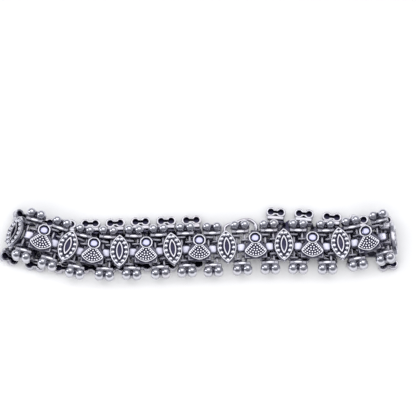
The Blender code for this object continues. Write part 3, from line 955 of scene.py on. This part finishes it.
def wire_ring(centre, radius, wire, one, other):
    turns = [math.tau * k / RING_STEPS for k in range(RING_STEPS)]
    centres = [centre + radius * (one * math.cos(a) + other * math.sin(a)) for a in turns]
    return tube(centres, [wire] * RING_STEPS, one.cross(other), WIRE_SIDES, True)


class ConnectorsOperator(bpy.types.Operator):
    """Model the ball bar connector and set all of them out along the chain"""

    bl_idname = "bracelet.connectors"
    bl_label = "Ball bar connectors"

    def execute(self, context):
        set_out("connector", connector_casting().finished("connector"), "ball_bar_connectors")
        return {"FINISHED"}


class FanPlatesOperator(bpy.types.Operator):
    """Model the granulated fan plate and set all of them out along the chain"""

    bl_idname = "bracelet.fan_plates"
    bl_label = "Fan plates"

    def execute(self, context):
        grain = Casting().add(dome(0.0, 0.0, 0.0, GRAIN_RADIUS, GRAIN_HEIGHT, 10, 4, 0.42), "grain")
        pitch = context.scene.bracelet.grain_pitch
        set_out("fan_plate", grained("fan", fan_casting(), fan_guides(), grain, pitch), "fan_plates")
        return {"FINISHED"}


class MarquisePlatesOperator(bpy.types.Operator):
    """Model the beaded marquise plate and set all of them out along the chain"""

    bl_idname = "bracelet.marquise_plates"
    bl_label = "Marquise plates"

    def execute(self, context):
        bead = Casting().add(dome(0.0, 0.0, 0.0, BEAD_RADIUS, BEAD_HEIGHT, 16, 4, 0.7), "bead")
        path = [(x, y, FIELD_FLOOR) for x, y in pointed_oval(*BEAD_PATH, 24)]
        mesh = grained("marquise", marquise_casting(), [path], bead, BEAD_PITCH * MM, closed=True)
        set_out("marquise_plate", mesh, "marquise_plates")
        return {"FINISHED"}


class EndBailsOperator(bpy.types.Operator):
    """Model the two bails that lead to the clasp"""

    bl_idname = "bracelet.end_bails"
    bl_label = "End bails"

    def execute(self, context):
        places = chain_places()
        for place, side, node in ((places[0], 1, "end_bail_left"), (places[-1], -1, "end_bail_right")):
            kind, middle, axes = place
            data = placed(bail_casting(side), node, middle, axes, "Oxidised silver")
            settle("left_bail" if side > 0 else "right_bail", data, [node])
        return {"FINISHED"}


class ClaspOperator(bpy.types.Operator):
    """Bend the clasp's ring and hook from round wire"""

    bl_idname = "bracelet.clasp"
    bl_label = "Clasp ring and hook"

    def execute(self, context):
        places = chain_places()
        shift = places[0][1] - chain_frames()[0][1]
        kind, middle, axes = places[0]
        bail_eye = (middle + axes @ (Vector((-BAIL_LENGTH / 2, 0, BAIL_EYE_LEVEL)) * MM)) / MM
        upright = Vector((0, 0, 1))
        turn = math.radians(RING_TURN)
        toward = Vector((math.cos(turn), math.sin(turn), 0))
        turn = math.radians(HOOK_EYE_TURN)
        shank = Vector((math.cos(turn), math.sin(turn), 0))
        still = Matrix.Identity(3)
        ring = Casting()
        sideways = upright.cross(toward)
        ring.add(wire_ring(bail_eye + toward * RING_RADIUS, RING_RADIUS, RING_WIRE, toward, sideways), "wire")
        settle("wire_ring", placed(ring, "ring", Vector(), still, "Clasp wire"), ["clasp_ring"])
        eye = bail_eye + toward * RING_RADIUS * 2 + shank * HOOK_EYE_RADIUS / 3
        level = Vector((shift.x / MM, shift.y / MM, eye.z))
        points = [Vector((x, y, 0)) + level for x, y in HOOK_BEND]
        bend = smooth_route([eye + shank * HOOK_EYE_RADIUS, *points], 6)
        ends = [0.55, 0.82, 0.95]
        radii = [HOOK_WIRE * share for share in ends + [1.0] * (len(bend) - 2 * len(ends)) + ends[::-1]]
        hook = Casting()
        hook.add(tube(bend, radii, upright, 18, False), "wire")
        hook.add(wire_ring(eye, HOOK_EYE_RADIUS, HOOK_EYE_WIRE, shank, upright), "wire")
        settle("wire_hook", placed(hook, "hook", Vector(), still, "Clasp wire"), ["clasp_hook"])
        return {"FINISHED"}


def card(name, size, middle, target, material):
    """A flat card that faces its target."""
    mesh = bmesh.new()
    bmesh.ops.create_grid(mesh, x_segments=1, y_segments=1, size=0.5)
    bmesh.ops.scale(mesh, vec=(size[0], size[1], 1), verts=mesh.verts[:])
    facing = (Vector(target) - Vector(middle)).to_track_quat("Z", "Y").to_matrix().to_4x4()
    mesh.transform(Matrix.Translation(middle) @ facing)
    data = bpy.data.meshes.new(name)
    mesh.to_mesh(data)
    mesh.free()
    data.materials.append(material)
    return helper(name, data)


def softbox(name, middle, target, size, strength, colour):
    lamp = bpy.data.lights.new(name, "AREA")
    lamp.shape = "RECTANGLE"
    lamp.size, lamp.size_y = size
    lamp.energy = strength
    lamp.color = colour
    obj = bpy.data.objects.new(name, lamp)
    bpy.context.scene.collection.objects.link(obj)
    obj.location = middle
    obj.rotation_euler = (Vector(target) - Vector(middle)).to_track_quat("-Z", "Y").to_euler()
    return obj


class StudioOperator(bpy.types.Operator):
    """Add the floor, the lights and the camera"""

    bl_idname = "bracelet.studio"
    bl_label = "Studio"

    def execute(self, context):
        scene = context.scene
        settings = scene.bracelet
        shader = Shader("Studio floor")
        place = shader.node("ShaderNodeTexCoord", output="Object")
        colour = rgba(settings.floor_colour)
        tone = shader.mix(shader.noise(place, 6.0), colour, rgba(settings.floor_colour, 0.985))
        floor_look = shader.feed(Base_Color=tone, Roughness=0.8)
        floor = card("Studio floor", (3.0, 3.0), (0, 0, 0), (0, 0, 1), floor_look)
        shader = Shader("Dark card")
        place = shader.node("ShaderNodeTexCoord", output="Object")
        tone = shader.mix(shader.noise(place, 9.0), (0.02, 0.019, 0.026, 1), (0.03, 0.028, 0.036, 1))
        card_look = shader.feed(Base_Color=tone, Roughness=0.9)
        flag = card("Dark card", (1.3, 0.15), (0, -0.33, 0.30), (0, 0, 0), card_look)
        flag.visible_camera = False
        flag.visible_shadow = False
        key = softbox("Key softbox", (0.02, 0.2, 0.5), (0, 0, 0), (0.6, 0.4), 1.1, (1.0, 0.99, 0.98))
        key.visible_diffuse = False
        softbox("Side softbox", (-0.5, 0.05, 0.3), (0, 0, 0), (0.2, 0.3), 0.5, (0.95, 0.97, 1.0))
        fill = softbox("Floor fill", (0, -0.35, 0.85), (0, 0, 0), (1.2, 1.2), 13.5, (1.0, 1.0, 1.0))
        fill.visible_glossy = False
        world = bpy.data.worlds.new("Studio air")
        world.use_nodes = True
        air = world.node_tree.nodes["Background"]
        air.inputs["Color"].default_value = (0.88, 0.90, 1.0, 1)
        air.inputs["Strength"].default_value = 0.34
        scene.world = world
        lens = bpy.data.cameras.new("Camera")
        lens.sensor_width = SENSOR_WIDTH
        lens.lens = SENSOR_WIDTH * VIEW_DISTANCE / VIEW_WIDTH
        lens.clip_start = 0.05
        camera = bpy.data.objects.new("Camera", lens)
        scene.collection.objects.link(camera)
        slope = math.radians(VIEW_ELEVATION)
        away = Vector((0, -math.cos(slope), math.sin(slope)))
        camera.location = (Vector(VIEW_CENTRE) + away * VIEW_DISTANCE) * MM
        camera.rotation_euler = (math.pi / 2 - slope, 0, 0)
        scene.camera = camera
        scene.view_settings.view_transform = "Standard"
        scene.view_settings.exposure = -0.06
        scene.view_settings.gamma = 1.14
        return {"FINISHED"}


class BraceletPanel(bpy.types.Panel):
    """The bracelet's settings and its makers"""

    bl_idname = "VIEW3D_PT_bracelet"
    bl_label = "Chain bracelet"
    bl_space_type = "VIEW_3D"
    bl_region_type = "UI"
    bl_category = "Bracelet"

    def draw(self, context):
        settings = context.scene.bracelet
        for name in BraceletSettings.__annotations__:
            self.layout.prop(settings, name)
        for maker in MAKERS:
            self.layout.operator(maker.bl_idname)


MAKERS = [
    ConnectorsOperator, FanPlatesOperator, MarquisePlatesOperator, EndBailsOperator, ClaspOperator,
    StudioOperator,
]
CLASSES = [BraceletSettings, *MAKERS, BraceletPanel]


def register():
    for entry in CLASSES:
        bpy.utils.register_class(entry)
    bpy.types.Scene.bracelet = PointerProperty(type=BraceletSettings)


def unregister():
    del bpy.types.Scene.bracelet
    for entry in reversed(CLASSES):
        bpy.utils.unregister_class(entry)


def main():
    register()
    bpy.ops.bracelet.connectors()
    bpy.ops.bracelet.fan_plates()
    bpy.ops.bracelet.marquise_plates()
    bpy.ops.bracelet.end_bails()
    bpy.ops.bracelet.clasp()
    bpy.ops.bracelet.studio()


if __name__ == "__main__":
    main()
